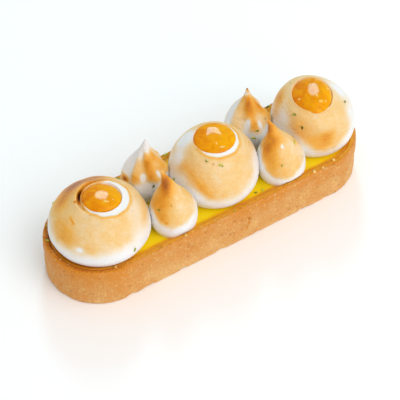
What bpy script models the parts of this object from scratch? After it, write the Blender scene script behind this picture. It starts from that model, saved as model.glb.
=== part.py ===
"""A finger-shaped lemon meringue tart.

A shortcrust case with round ends holds lemon curd. On the curd stand three round meringues,
each with a scooped hollow full of lemon gel, and between them two pairs of peaked meringue kisses.
The long axis is X, the front is -Y, and the origin is the centre of the underside.
"""

import math

import bmesh
import bpy
from mathutils import Matrix, Vector, noise

MM = 0.001

# Case of baked pastry
CASE_LENGTH = 130.6 * MM
CASE_WIDTH = 40 * MM
CASE_HEIGHT = 17 * MM
WALL = 2.7 * MM
FLOOR = 3 * MM
EDGE_ROUND = 0.8 * MM
ARC_STEPS = 28
STRAIGHT_STEPS = 18
CASE_UNEVENNESS = 0.25 * MM

# Curd and the clearance between separate pieces
GAP = 0.3 * MM
CURD_BELOW_RIM = 1.7 * MM
CURD_TOP = CASE_HEIGHT - CURD_BELOW_RIM
TOPPING_BASE = CURD_TOP + GAP

# Round meringues: centre along X, centre along Y, widest radius, radius on the curd,
# height of the widest ring above the curd, height of the crown above the curd, hollow radius
ROUND_MERINGUES = {
    "left": (-44.4, 0.0, 18.7, 15.9, 5.0, 21.0, 7.0),
    "middle": (3.8, -0.8, 16.8, 14.3, 6.2, 24.0, 7.6),
    "right": (48.7, -0.4, 16.0, 13.6, 6.4, 24.1, 7.6),
}
HOLLOW_DEPTH = 3.4 * MM
HOLLOW_LIP = 0.9 * MM
HOLLOW_SHIFT = {"left": (0.9, -1.1), "middle": (0.3, 0.1), "right": (-1.9, -1.1)}
HOLLOW_STRETCH = {"left": 1.0, "middle": 1.0, "right": 1.18}

# Groove that the last turn of the piping left beside the hollow: its depth in each meringue, the side
# that it faces, how far round it reaches each way, its distance outside the hollow's edge,
# the distance of the shell outside it, and the shell's rise as a share of the depth
GROOVE_DEPTH = {"left": 1.8 * MM, "middle": 0, "right": 0}
GROOVE_SIDE = math.radians(136)
GROOVE_REACH = math.radians(62)
GROOVE_AWAY = 1.7 * MM
SHELL_AWAY = 2.9 * MM
SHELL_RISE = 0.35
ROUND_SEGMENTS = 40
ROUND_UNEVENNESS = 0.3 * MM

# Gel in the hollows: how far its edge lies under the lip, and how far its middle stands above its edge
GEL_LEVEL = {"left": 0.9, "middle": 0.4, "right": 0.1}
GEL_CROWN = {"left": 1.3, "middle": 1.7, "right": 2.7}
GEL_SEGMENTS = 24

# Peaked kisses: centre along X, centre along Y, widest radius, height, lean of the tip along X and Y,
# number of soft folds, depth of the folds
KISSES = {
    "front_left": (-19.6, -10.3, 8.9, 26.2, -2.7, 3.3, 0, 0.0),
    "back_left": (-18.9, 9.8, 9.0, 26.2, 0.1, -0.6, 6, 0.55),
    "front_right": (27.2, -10.6, 9.3, 26.5, -4.3, 3.5, 0, 0.0),
    "back_right": (26.9, 10.2, 9.0, 26.8, -1.2, 0.0, 5, 0.6),
}
KISS_SEGMENTS = 26
LEAN_CURVE = 2.6
KISS_OUTLINE = (
    (0.0, 0.80), (0.05, 0.90), (0.13, 0.98), (0.22, 1.0), (0.31, 0.97), (0.40, 0.89), (0.49, 0.77),
    (0.57, 0.63), (0.64, 0.49), (0.71, 0.36), (0.78, 0.245), (0.85, 0.16), (0.91, 0.10), (0.96, 0.06),
)

# Shreds of zest fused to what they lie on: angle in degrees and height above the base on the turned
# pieces, and place along X and Y on the flat ones
ZEST_SIZE = Vector((1.3, 0.7, 0.6)) * MM
ZEST_TURN = 2.4
ZEST_ON_ROUND = {
    "left": ((31, 14.6), (-79, 6.4), (128, 9.5)),
    "middle": ((177, 9.2), (-110, 19.4), (-138, 20.6), (-20, 9.4), (82, 14.0)),
    "right": ((-156, 18.6), (-142, 16.6), (-43, 18.4), (64, 15.0)),
}
ZEST_ON_KISS = {
    "front_left": ((-164, 12.6),),
    "back_left": ((-103, 9.1), (70, 11.0)),
    "front_right": ((-34, 15.3), (-118, 11.2)),
    "back_right": ((-103, 11.6), (-112, 8.6), (100, 8.0)),
}
ZEST_ON_CURD = ((15.9, -15.0), (13.6, -14.3), (-29.8, 13.9))
ZEST_ON_RIM = ((-4.5, 18.6), (42.0, 18.6), (1.5, -18.6), (-62.6, 6.2), (-59.3, 12.2))


def clear_scene():
    for obj in list(bpy.data.objects):
        bpy.data.objects.remove(obj, do_unlink=True)


def make_material(name, colour, roughness):
    material = bpy.data.materials.new(name)
    material.use_nodes = True
    shader = material.node_tree.nodes["Principled BSDF"]
    shader.inputs["Base Color"].default_value = (*colour, 1.0)
    shader.inputs["Roughness"].default_value = roughness
    shader.inputs["Metallic"].default_value = 0.0
    return material


def add_object(name, bm, material, collection, smooth_angle=40):
    bmesh.ops.recalc_face_normals(bm, faces=bm.faces)
    mesh = bpy.data.meshes.new(name)
    bm.to_mesh(mesh)
    bm.free()
    mesh.materials.append(material)
    mesh.shade_smooth()
    mesh.set_sharp_from_angle(angle=math.radians(smooth_angle))
    obj = bpy.data.objects.new(name, mesh)
    collection.objects.link(obj)
    return obj


def outline_point(step, inset):
    """A point of the round-ended outline, moved inwards by inset.

    The steps run anticlockwise from the front of the right end.
    """
    radius = CASE_WIDTH / 2 - inset
    half_straight = (CASE_LENGTH - CASE_WIDTH) / 2
    side = ARC_STEPS + STRAIGHT_STEPS
    half, place = divmod(step, side)
    sign = 1 if half % 2 == 0 else -1
    if place < ARC_STEPS:
        angle = -math.pi / 2 + math.pi * place / ARC_STEPS
        return Vector((sign * (half_straight + radius * math.cos(angle)), sign * radius * math.sin(angle)))
    share = (place - ARC_STEPS) / STRAIGHT_STEPS
    return Vector((sign * half_straight * (1 - 2 * share), sign * radius))


def stack_outlines(levels, shift):
    """Extrudes the outline through levels of (inset, height) and closes both ends. shift moves each point."""
    count = 2 * (ARC_STEPS + STRAIGHT_STEPS)
    bm = bmesh.new()
    bmesh.ops.create_circle(bm, cap_ends=False, radius=1, segments=count)
    edges = list(bm.edges)
    bm.verts.ensure_lookup_table()
    ring = list(bm.verts)
    first = ring
    for number, (inset, height) in enumerate(levels):
        if number:
            made = bmesh.ops.extrude_edge_only(bm, edges=edges)["geom"]
            edges = [g for g in made if isinstance(g, bmesh.types.BMEdge)]
            edges = [e for e in edges if all(v in made for v in e.verts)]
            ring = next_ring(ring, made)
        for step, vert in enumerate(ring):
            flat = outline_point(step, inset)
            vert.co = shift(Vector((flat.x, flat.y, height)), inset, number)
    bm.faces.new(list(reversed(first)))
    bm.faces.new(ring)
    return bm


def next_ring(ring, made):
    """The new vertices of an extruded loop, in the order of the loop that they came from."""
    new = {v for v in made if isinstance(v, bmesh.types.BMVert)}
    found = []
    for vert in ring:
        found.append(next(e.other_vert(vert) for e in vert.link_edges if e.other_vert(vert) in new))
    return found


def build_case(material, collection):
    inner = WALL
    levels = [
        (0.7 * MM, 0), (0, 0.8 * MM), (0, 4.5 * MM), (0, 8.5 * MM), (0, 12.5 * MM),
        (0, CASE_HEIGHT - EDGE_ROUND), (0.25 * MM, CASE_HEIGHT - 0.25 * MM),
        (EDGE_ROUND, CASE_HEIGHT), (inner - 0.7 * MM, CASE_HEIGHT),
        (inner, CASE_HEIGHT - 0.6 * MM), (inner, FLOOR + 2 * MM), (inner + 1.4 * MM, FLOOR),
    ]

    def uneven(point, inset, number):
        wander = noise.noise(Vector((point.x, point.y, point.z * 1.4)) * 160)
        if number == 0 or number > 8:
            return point
        if point.z > CASE_HEIGHT - MM:
            point.z += CASE_UNEVENNESS * (wander - 0.3)
        outward = Vector((0 if abs(point.x) < (CASE_LENGTH - CASE_WIDTH) / 2 else
                          point.x - math.copysign((CASE_LENGTH - CASE_WIDTH) / 2, point.x), point.y, 0))
        depth = max(0.0, 1 - inset / WALL)
        return point - outward.normalized() * CASE_UNEVENNESS * depth * (0.5 - wander)

    return add_object("crust", stack_outlines(levels, uneven), material, collection)


def build_curd(material, collection):
    inset = WALL + GAP
    levels = [
        (inset + 1.4 * MM, FLOOR + GAP), (inset, FLOOR + 2 * MM + GAP), (inset, CURD_TOP - 0.1 * MM),
        (inset + 0.6 * MM, CURD_TOP - 0.05 * MM), (inset + 1.6 * MM, CURD_TOP),
    ]
    return add_object("lemon_curd", stack_outlines(levels, lambda p, i, n: p), material, collection)


def round_values(key):
    x, y, widest, foot, waist, crown, hollow = (v * MM for v in ROUND_MERINGUES[key])
    return Vector((x, y, 0)), widest, foot, waist, crown, hollow


def round_radius(key, height):
    """Radius of a round meringue at a height above its base, from its smooth outline."""
    _, widest, foot, waist, crown, _ = round_values(key)
    if height < waist:
        tilt = math.acos(foot / widest)
        share = max(-1.0, (height - waist) / (waist / math.sin(tilt)))
        return widest * math.sqrt(1 - share * share)
    share = min(1.0, (height - waist) / (crown - waist))
    return widest * math.sqrt(max(0.0, 1 - share * share))


def round_height(key, radius):
    """Height above its base of a round meringue's upper outline at a radius."""
    _, widest, _, waist, crown, _ = round_values(key)
    return waist + (crown - waist) * math.sqrt(max(0.0, 1 - (radius / widest) ** 2))


def hollow_height(key, radius):
    """Height above its base of the scooped hollow's bowl."""
    hollow = round_values(key)[5]
    rim = round_height(key, hollow) - 0.2 * MM
    return rim - HOLLOW_DEPTH * math.sqrt(max(0.0, 1 - (radius / hollow) ** 2))


def round_rings(key):
    """Rings of a round meringue from its base to its bowl.

    Each one is (radius, height, share of the shift towards the hollow, share of the groove).
    """
    _, widest, foot, waist, crown, hollow = round_values(key)
    tilt = math.acos(foot / widest)
    rings = [(foot * 0.55, 0, 0, 0), (foot * 0.97, 0, 0, 0)]
    for k in range(4):
        angle = -tilt * (1 - k / 4) + tilt / 12
        height = max(waist + waist / math.sin(tilt) * math.sin(angle), 0.4 * MM)
        rings.append((widest * math.cos(angle), height, 0, 0))
    stop = math.acos((hollow + SHELL_AWAY) / widest)
    steps = 8
    for k in range(steps + 1):
        angle = stop * k / steps
        share = max(0.0, (angle / stop - 0.4) / 0.6)
        cut = -SHELL_RISE if k == steps else 0
        rings.append((widest * math.cos(angle), waist + (crown - waist) * math.sin(angle), share, cut))
    groove = hollow + GROOVE_AWAY
    rings.append((groove + 0.5 * MM, round_height(key, groove + 0.5 * MM), 1, 0.8))
    rings.append((groove - 0.2 * MM, round_height(key, groove - 0.2 * MM), 1, 1))
    lip = hollow + HOLLOW_LIP
    rings.append((lip - 0.2 * MM, round_height(key, lip), 1, 0.1))
    top = round_height(key, hollow)
    rings.append((hollow + 0.25 * MM, top + 0.05 * MM, 1, 0))
    rings.append((hollow, top - 0.2 * MM, 1, 0))
    for share in (0.96, 0.82, 0.6, 0.32):
        rings.append((hollow * share, hollow_height(key, hollow * share), 1, 0))
    return rings


def groove_share(angle):
    """How deep the groove is at an angle, from 0 to 1."""
    away = abs((angle - GROOVE_SIDE + math.pi) % math.tau - math.pi)
    return max(0.0, math.cos(math.pi / 2 * min(1.0, away / GROOVE_REACH))) ** 0.8


def turned_mesh(rings, segments, base, tip):
    """A primitive ball with its rings moved to the given ones. Each ring is (radius, height, ...)."""
    bm = bmesh.new()
    bmesh.ops.create_uvsphere(bm, u_segments=segments, v_segments=len(rings) + 1, radius=1)
    verts = sorted(bm.verts, key=lambda v: v.co.z)
    bottom, top = verts[0], verts[-1]
    placed = []
    for number in range(len(rings)):
        for vert in verts[1 + number * segments:1 + (number + 1) * segments]:
            placed.append((vert, math.atan2(vert.co.y, vert.co.x), number))
    bottom.co = Vector((0, 0, base))
    top.co = Vector((0, 0, tip))
    return bm, placed, bottom, top


def keep_in_case(point):
    """Moves a point that lies lower than the rim back inside the pastry wall."""
    if point.z > CASE_HEIGHT + GAP + 0.1 * MM:
        return point
    half_straight = (CASE_LENGTH - CASE_WIDTH) / 2
    near = Vector((max(-half_straight, min(half_straight, point.x)), 0))
    away = Vector((point.x, point.y)) - near
    room = CASE_WIDTH / 2 - WALL - GAP - 0.05 * MM
    if away.length > room:
        away = away.normalized() * room
    return Vector((near.x + away.x, near.y + away.y, point.z))


def build_round(key, material, collection):
    centre, _, _, _, _, _ = round_values(key)
    shift = Vector((*HOLLOW_SHIFT[key], 0)) * MM
    rings = round_rings(key)
    bowl = TOPPING_BASE + hollow_height(key, 0)
    bm, placed, bottom, top = turned_mesh(rings, ROUND_SEGMENTS, TOPPING_BASE, bowl)
    for vert, angle, number in placed:
        radius, height, share, cut = rings[number]
        height -= GROOVE_DEPTH[key] * cut * groove_share(angle)
        stretch = 1 + share * (HOLLOW_STRETCH[key] - 1)
        direction = Vector((math.cos(angle), math.sin(angle) * stretch, 0))
        if 2 < number < 14:
            wander = noise.noise(Vector((direction.x * 2, direction.y * 2, height * 120)) + centre * 300)
            radius -= ROUND_UNEVENNESS * (0.5 - wander)
        point = centre + direction * radius + shift * share
        vert.co = keep_in_case(Vector((point.x, point.y, TOPPING_BASE + height)))
    bottom.co += centre
    top.co += centre + shift
    return add_object(f"meringue_{key}", bm, material, collection, 60)


def build_gel(key, material, collection):
    centre, _, _, _, _, hollow = round_values(key)
    shift = Vector((*HOLLOW_SHIFT[key], 0)) * MM
    rim = TOPPING_BASE + round_height(key, hollow) - 0.2 * MM
    level = rim - GEL_LEVEL[key] * MM
    crown = GEL_CROWN[key] * MM
    edge = (hollow - GAP) * math.sqrt(max(0.0, 1 - ((rim - level) / HOLLOW_DEPTH) ** 2)) - 0.1 * MM
    floor = TOPPING_BASE + hollow_height(key, 0) + GAP
    rings = []
    for share in (0.35, 0.65, 0.88, 0.98):
        radius = edge * share
        rings.append((radius, TOPPING_BASE + hollow_height(key, radius) + GAP + 0.15 * MM))
    rings.append((edge, level))
    for share in (0.96, 0.85, 0.65, 0.35):
        rings.append((edge * share, level + crown * math.sqrt(1 - share ** 2)))
    bm, placed, bottom, top = turned_mesh(rings, GEL_SEGMENTS, floor + 0.1 * MM, level + crown)
    for vert, angle, number in placed:
        radius, height = rings[number]
        across = math.sin(angle) * radius * HOLLOW_STRETCH[key]
        vert.co = centre + shift + Vector((math.cos(angle) * radius, across, height))
    bottom.co += centre + shift
    top.co += centre + shift
    return add_object(f"gel_{key}", bm, material, collection, 50)


def push_from_rounds(point):
    """Soft meringue gives way to its round neighbours: a point inside one moves out to its side."""
    for key in ROUND_MERINGUES:
        centre = round_values(key)[0]
        away = Vector((point.x - centre.x, point.y - centre.y))
        room = round_radius(key, point.z - TOPPING_BASE) + GAP + 0.1 * MM
        if away.length < room:
            away = away.normalized() * room
            point = Vector((centre.x + away.x, centre.y + away.y, point.z))
    return point


def build_kiss(key, material, collection):
    x, y, widest, height, lean_x, lean_y = (v * MM for v in KISSES[key][:6])
    folds, depth = KISSES[key][6], KISSES[key][7] * MM
    centre = Vector((x, y, TOPPING_BASE))
    lean = Vector((lean_x, lean_y, 0))
    rings = [(widest * 0.45, 0.0)] + [(widest * wide, height * high) for high, wide in KISS_OUTLINE]
    bm, placed, bottom, top = turned_mesh(rings, KISS_SEGMENTS, 0, height)
    for vert, angle, number in placed:
        radius, up = rings[number]
        share = up / height
        if folds and number > 2:
            fold = math.cos(folds * (angle + 1.3 * share)) * math.sin(math.pi * min(1, share * 1.15))
            radius += depth * fold
        direction = Vector((math.cos(angle), math.sin(angle), 0))
        point = centre + direction * radius + lean * share ** LEAN_CURVE + Vector((0, 0, up))
        vert.co = keep_in_case(push_from_rounds(point))
    bottom.co += centre
    top.co += centre + lean
    return add_object(f"kiss_{key}", bm, material, collection, 70)


def kiss_radius(key, height):
    """Radius of a kiss at a height above its base, from its smooth outline."""
    widest, tall = (v * MM for v in KISSES[key][2:4])
    share = height / tall
    for (low, inner), (high, outer) in zip(KISS_OUTLINE, KISS_OUTLINE[1:]):
        if low <= share <= high:
            return widest * (inner + (outer - inner) * (share - low) / (high - low))
    return 0.0


def zest_on_turned(centre, lean, radius_at, places):
    """Places and normals on a turned piece, for zest at (angle in degrees, height in mm)."""
    found = []
    for degrees, high in places:
        angle, height = math.radians(degrees), high * MM
        outward = Vector((math.cos(angle), math.sin(angle), 0))
        slope = (radius_at(height + 0.3 * MM) - radius_at(height - 0.3 * MM)) / (0.6 * MM)
        point = centre + lean(height) + outward * radius_at(height) + Vector((0, 0, height))
        found.append((point, Vector((outward.x, outward.y, -slope)).normalized()))
    return found


def add_zest(obj, places):
    """Unites shreds of zest with the piece that they lie on."""
    shreds = bpy.data.collections.new(f"zest_{obj.name}")
    bpy.context.scene.collection.children.link(shreds)
    for number, (point, normal) in enumerate(places):
        bm = bmesh.new()
        bmesh.ops.create_cube(bm, size=1)
        turn = normal.to_track_quat("Z", "Y").to_matrix().to_4x4()
        spin = Matrix.Rotation(ZEST_TURN * number, 4, "Z")
        bm.transform(Matrix.Translation(point) @ turn @ spin @ Matrix.Diagonal((*ZEST_SIZE, 1)))
        add_object(f"shred_{obj.name}_{number}", bm, obj.data.materials[0], shreds)
    union = obj.modifiers.new("zest", "BOOLEAN")
    union.operation = "UNION"
    union.operand_type = "COLLECTION"
    union.collection = shreds
    union.solver = "EXACT"
    evaluated = obj.evaluated_get(bpy.context.evaluated_depsgraph_get())
    joined = bpy.data.meshes.new_from_object(evaluated)
    obj.modifiers.clear()
    obj.data = joined
    for shred in list(shreds.objects):
        bpy.data.objects.remove(shred, do_unlink=True)
    bpy.data.collections.remove(shreds)


def zest_on_pieces(pieces):
    up = Vector((0, 0, 1))
    for key, places in ZEST_ON_ROUND.items():
        centre = round_values(key)[0] + up * TOPPING_BASE
        spots = zest_on_turned(centre, lambda h: Vector(), lambda h: round_radius(key, h), places)
        add_zest(pieces[f"meringue_{key}"], spots)
    for key, places in ZEST_ON_KISS.items():
        x, y, _, height, lean_x, lean_y = (v * MM for v in KISSES[key][:6])
        centre = Vector((x, y, TOPPING_BASE))
        spots = zest_on_turned(centre, lambda h: Vector((lean_x, lean_y, 0)) * (h / height) ** LEAN_CURVE,
                               lambda h: kiss_radius(key, h), places)
        add_zest(pieces[f"kiss_{key}"], spots)
    add_zest(pieces["lemon_curd"], [(Vector((x * MM, y * MM, CURD_TOP)), up) for x, y in ZEST_ON_CURD])
    add_zest(pieces["crust"], [(Vector((x * MM, y * MM, CASE_HEIGHT)), up) for x, y in ZEST_ON_RIM])


def main():
    clear_scene()
    tart = bpy.data.collections.new("lemon_meringue_tart")
    bpy.context.scene.collection.children.link(tart)
    pastry = make_material("pastry", (0.72, 0.42, 0.16), 0.75)
    curd = make_material("curd", (0.95, 0.72, 0.02), 0.25)
    meringue = make_material("meringue", (0.93, 0.80, 0.62), 0.6)
    gel = make_material("gel", (0.93, 0.50, 0.02), 0.08)
    made = [build_case(pastry, tart), build_curd(curd, tart)]
    for key in ROUND_MERINGUES:
        made.append(build_round(key, meringue, tart))
        made.append(build_gel(key, gel, tart))
    for key in KISSES:
        made.append(build_kiss(key, meringue, tart))
    zest_on_pieces({obj.name: obj for obj in made})


main()
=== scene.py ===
"""Looks of a finger-shaped lemon meringue tart.

The pastry case, the curd, the torched meringues, the gel in their hollows, the zest and the crumbs
are modelled finely over the frame's solids. The long axis is X and the front is -Y.
"""

import math

import bmesh
import bpy
import numpy as np
from mathutils import Matrix, Vector, noise


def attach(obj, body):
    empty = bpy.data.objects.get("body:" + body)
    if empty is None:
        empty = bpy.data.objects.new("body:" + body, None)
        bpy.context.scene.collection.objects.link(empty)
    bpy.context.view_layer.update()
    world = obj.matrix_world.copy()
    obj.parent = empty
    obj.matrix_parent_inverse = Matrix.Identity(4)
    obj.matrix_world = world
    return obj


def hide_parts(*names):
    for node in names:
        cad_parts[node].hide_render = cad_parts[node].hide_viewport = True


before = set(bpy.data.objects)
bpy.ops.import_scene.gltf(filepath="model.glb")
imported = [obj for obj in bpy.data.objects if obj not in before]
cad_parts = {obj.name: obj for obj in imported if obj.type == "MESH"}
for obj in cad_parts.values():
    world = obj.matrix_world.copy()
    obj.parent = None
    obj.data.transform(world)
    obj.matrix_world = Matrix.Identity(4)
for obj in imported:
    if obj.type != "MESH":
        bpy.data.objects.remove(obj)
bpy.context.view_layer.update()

MM = 0.001

# Pastry case
CASE_LENGTH = 130.6 * MM
CASE_WIDTH = 40 * MM
CASE_HEIGHT = 17 * MM
HALF_STRAIGHT = (CASE_LENGTH - CASE_WIDTH) / 2
WALL = 2.7 * MM
FLOOR = 3 * MM
ARC_STEPS = 28
STRAIGHT_STEPS = 18
GAP = 0.3 * MM
CURD_TOP = CASE_HEIGHT - 1.7 * MM
BASE = CURD_TOP + GAP
# How far the feet of the meringues reach below their base, into the curd
FOOT_DIP = 0.5 * MM

# Round meringues: centre X and Y, widest radius, radius on the curd, height of the widest ring,
# height of the crown, radius of the hollow, all in mm
ROUNDS = {
    "left": (-44.4, 0.0, 18.7, 15.9, 5.0, 21.0, 7.0),
    "middle": (3.8, -0.8, 16.8, 14.3, 6.2, 24.0, 7.5),
    "right": (48.7, -0.4, 16.0, 13.6, 6.4, 24.1, 7.4),
}
HOLLOW_SHIFT = {"left": (0.9, -1.1), "middle": (0.3, 0.1), "right": (-2.0, -1.2)}
HOLLOW_STRETCH = {"left": 1.0, "middle": 1.0, "right": 1.22}
STRETCH_SIDE = math.radians(66)
HOLLOW_DEPTH = 3.4 * MM
# The gel: how far its edge lies below the lip and past the hollow, how far it bulges, and how its
# middle slopes in X and Y
GEL_LEVEL = {"left": 0.3, "middle": 0.05, "right": 0.1}
GEL_SPREAD = {"left": 0.15, "middle": 0.3, "right": 0.1}
GEL_CROWN = {"left": 1.6, "middle": 1.4, "right": 2.3}
GEL_SLOPE = {"left": (-0.09, -0.065), "middle": (0.03, -0.01), "right": (0.13, -0.09)}
# How far the gel of each hollow ran over its front lip
GEL_DRIP = {"left": 0.0, "middle": 0.0, "right": 0.8}
GEL_DRIP_SIDE = -118
# Bubbles in the gel, whose pale colour is painted glints: angle, distance from the middle of the hollow and
# size in mm
GEL_BUBBLES = {
    "left": ((-96, 3.6, 0.8), (-86, 4.0, 0.7), (-112, 3.3, 0.5), (-58, 4.7, 0.5)),
    "middle": ((-132, 2.5, 0.5), (-111, 3.6, 0.7), (-101, 5.7, 0.6), (-94, 5.8, 0.7), (-88, 6.0, 0.5)),
    "right": ((180, 5.8, 0.8), (-94, 3.1, 0.9), (-97, 6.1, 0.7), (-91, 6.2, 0.7), (-79, 6.9, 0.6),
              (-21, 6.0, 0.7), (65, 6.1, 0.6), (41, 6.3, 0.6)),
}

# Groove that the last turn of the piping left beside the left meringue's hollow
GROOVE_DEPTH = {"left": 2.2 * MM, "middle": 0, "right": 0}
GROOVE_SIDE = math.radians(136)
GROOVE_REACH = math.radians(62)

# Kisses: centre X and Y, widest radius, height, lean of the tip in X and Y, folds, depth of the folds
KISSES = {
    "front_left": (-19.6, -10.3, 8.9, 26.2, -2.7, 3.3, 0, 0.0),
    "back_left": (-18.9, 9.8, 9.0, 26.2, 0.1, -0.6, 6, 0.9),
    "front_right": (27.2, -10.6, 9.3, 26.5, -4.3, 3.5, 0, 0.0),
    "back_right": (26.9, 10.2, 9.0, 26.8, -1.2, 0.0, 5, 1.0),
}
LEAN_CURVE = 2.6
KISS_OUTLINE = (
    (0.0, 0.85), (0.05, 0.93), (0.13, 0.985), (0.22, 1.0), (0.31, 0.97), (0.40, 0.89), (0.49, 0.77),
    (0.57, 0.63), (0.64, 0.49), (0.71, 0.36), (0.78, 0.245), (0.85, 0.16), (0.91, 0.10), (0.96, 0.06),
)

# Camera: the photograph's viewing angle, distance and field of view, and where it aims
CAMERA_AZIMUTH = math.radians(-33.229)
CAMERA_ELEVATION = math.radians(48)
CAMERA_DISTANCE = 616.65 * MM
CAMERA_LENS = 149.53
CAMERA_AIM = Vector((0, 0, 10 * MM))
CAMERA_ASIDE = -1.3 * MM
CAMERA_DOWN = 2.52 * MM


# Node trees

def node(tree, kind, inputs=None, **properties):
    """Adds a node. Its inputs go by name or number, each as a value or a socket to link from."""
    made = tree.nodes.new(kind)
    for name, value in properties.items():
        setattr(made, name, value)
    for name, value in (inputs or {}).items():
        if isinstance(value, bpy.types.NodeSocket):
            tree.links.new(value, made.inputs[name])
        else:
            made.inputs[name].default_value = value
    return made


def maths(tree, operation, *values):
    return node(tree, "ShaderNodeMath", dict(enumerate(values)), operation=operation).outputs[0]


def mix_colour(tree, share, first, second):
    inputs = {0: share, 6: first, 7: second}
    return node(tree, "ShaderNodeMix", inputs, data_type="RGBA").outputs[2]


def remap(tree, value, low, high, to_low=0.0, to_high=1.0):
    made = node(tree, "ShaderNodeMapRange", {
        "Value": value, "From Min": low, "From Max": high, "To Min": to_low, "To Max": to_high})
    return made.outputs["Result"]


def ramp(tree, share, stops):
    """A colour ramp. Stops are (place, (red, green, blue))."""
    made = node(tree, "ShaderNodeValToRGB", {"Fac": share})
    ladder = made.color_ramp
    ladder.elements[0].position, ladder.elements[0].color = stops[0][0], (*stops[0][1], 1)
    ladder.elements[1].position, ladder.elements[1].color = stops[-1][0], (*stops[-1][1], 1)
    for place, colour in stops[1:-1]:
        ladder.elements.new(place).color = (*colour, 1)
    return made.outputs["Color"]


def object_place(tree):
    return node(tree, "ShaderNodeTexCoord").outputs["Object"]


def noise_value(tree, place, scale, detail=2.0, roughness=0.5, distortion=0.0):
    return node(tree, "ShaderNodeTexNoise", {
        "Vector": place, "Scale": scale, "Detail": detail, "Roughness": roughness,
        "Distortion": distortion}).outputs["Fac"]


def new_group(name, inputs):
    """A shader node group with number inputs (name, value) and one Mask output."""
    group = bpy.data.node_groups.new(name, "ShaderNodeTree")
    for label, value in inputs:
        socket = group.interface.new_socket(name=label, in_out="INPUT", socket_type="NodeSocketFloat")
        socket.default_value = value
    group.interface.new_socket(name="Mask", in_out="OUTPUT", socket_type="NodeSocketFloat")
    return group, node(group, "NodeGroupInput"), node(group, "NodeGroupOutput")


def make_speckle_group():
    """Scattered small dots: crumbs of sugar and bran in pastry, caramel pits in meringue."""
    group, given, out = new_group("speckles", (("Scale", 800.0), ("Size", 0.25), ("Share", 0.3)))
    place = object_place(group)
    cells = node(group, "ShaderNodeTexVoronoi", {
        "Vector": place, "Scale": given.outputs["Scale"], "Randomness": 1.0})
    tint = node(group, "ShaderNodeSeparateColor", {"Color": cells.outputs["Color"]})
    chosen = maths(group, "LESS_THAN", tint.outputs[0], given.outputs["Share"])
    size = maths(group, "MULTIPLY", given.outputs["Size"], maths(group, "ADD", tint.outputs[1], 0.5))
    near = remap(group, cells.outputs["Distance"], size, maths(group, "MULTIPLY", size, 0.4))
    group.links.new(maths(group, "MULTIPLY", near, chosen), out.inputs["Mask"])
    return group


def make_grain_group():
    """Uneven fine grain with coarser patches, from 0 to 1."""
    group, given, out = new_group("grain", (("Scale", 1500.0), ("Patches", 0.4)))
    place = object_place(group)
    fine = noise_value(group, place, given.outputs["Scale"], 3.0, 0.65)
    broad = noise_value(group, place, maths(group, "MULTIPLY", given.outputs["Scale"], 0.12), 2.0)
    both = node(group, "ShaderNodeMix", {0: given.outputs["Patches"], 2: fine, 3: broad},
                data_type="FLOAT")
    group.links.new(remap(group, both.outputs[0], 0.38, 0.62), out.inputs["Mask"])
    return group


SPECKLES = make_speckle_group()
GRAIN = make_grain_group()


def speckles(tree, scale, size, share):
    inputs = {"Scale": scale, "Size": size, "Share": share}
    return node(tree, "ShaderNodeGroup", inputs, node_tree=SPECKLES).outputs["Mask"]


def grain(tree, scale, patches):
    inputs = {"Scale": scale, "Patches": patches}
    return node(tree, "ShaderNodeGroup", inputs, node_tree=GRAIN).outputs["Mask"]


def bump(tree, height, distance, strength=1.0):
    inputs = {"Height": height, "Distance": distance, "Strength": strength}
    return node(tree, "ShaderNodeBump", inputs).outputs["Normal"]


def new_material(name):
    material = bpy.data.materials.new(name)
    material.use_nodes = True
    tree = material.node_tree
    return material, tree, tree.nodes["Principled BSDF"]


def attribute(tree, name):
    return node(tree, "ShaderNodeAttribute", attribute_name=name).outputs["Fac"]


# Materials

def make_pastry():
    """Baked shortcrust: golden, sandy, browner under the rim and deep orange inside it. The inner orange
    and the darker left end are partly painted shade, and the dark crack is painted shade.
    """
    material, tree, shader = new_material("baked_shortcrust")
    sandy = grain(tree, 1300.0, 0.3)
    # The bake value also carries painted shade: on the inner wall, at the left end and along the crack.
    bake_and_shade = attribute(tree, "bake_and_shade")
    shade = maths(tree, "ADD", bake_and_shade, remap(tree, sandy, 0.0, 1.0, -0.15, 0.15))
    colour = ramp(tree, shade, (
        (0.0, (0.88, 0.54, 0.20)), (0.25, (0.775, 0.37, 0.10)), (0.42, (0.76, 0.295, 0.045)),
        (0.6, (0.76, 0.265, 0.010)), (0.8, (0.56, 0.15, 0.003)), (1.0, (0.30, 0.06, 0.001))))
    soaked = maths(tree, "MULTIPLY", attribute(tree, "soaked"), 0.8)
    colour = mix_colour(tree, soaked, colour, (0.97, 0.50, 0.02, 1))
    pale = speckles(tree, 820.0, 0.36, 0.26)
    dark = speckles(tree, 560.0, 0.32, 0.18)
    colour = mix_colour(tree, maths(tree, "MULTIPLY", pale, 0.5), colour, (0.95, 0.68, 0.24, 1))
    colour = mix_colour(tree, maths(tree, "MULTIPLY", dark, 0.5), colour, (0.52, 0.15, 0.015, 1))
    tree.links.new(colour, shader.inputs["Base Color"])
    shader.inputs["Roughness"].default_value = 0.62
    shader.inputs["Specular IOR Level"].default_value = 0.3
    shader.inputs["Subsurface Weight"].default_value = 0.06
    shader.inputs["Subsurface Radius"].default_value = (1.0, 0.4, 0.15)
    shader.inputs["Subsurface Scale"].default_value = 0.5 * MM
    relief = maths(tree, "ADD", sandy, maths(tree, "MULTIPLY", dark, -0.6))
    relief = maths(tree, "ADD", relief, maths(tree, "MULTIPLY", pale, 0.5))
    tree.links.new(bump(tree, relief, 0.26 * MM), shader.inputs["Normal"])
    return material


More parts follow.
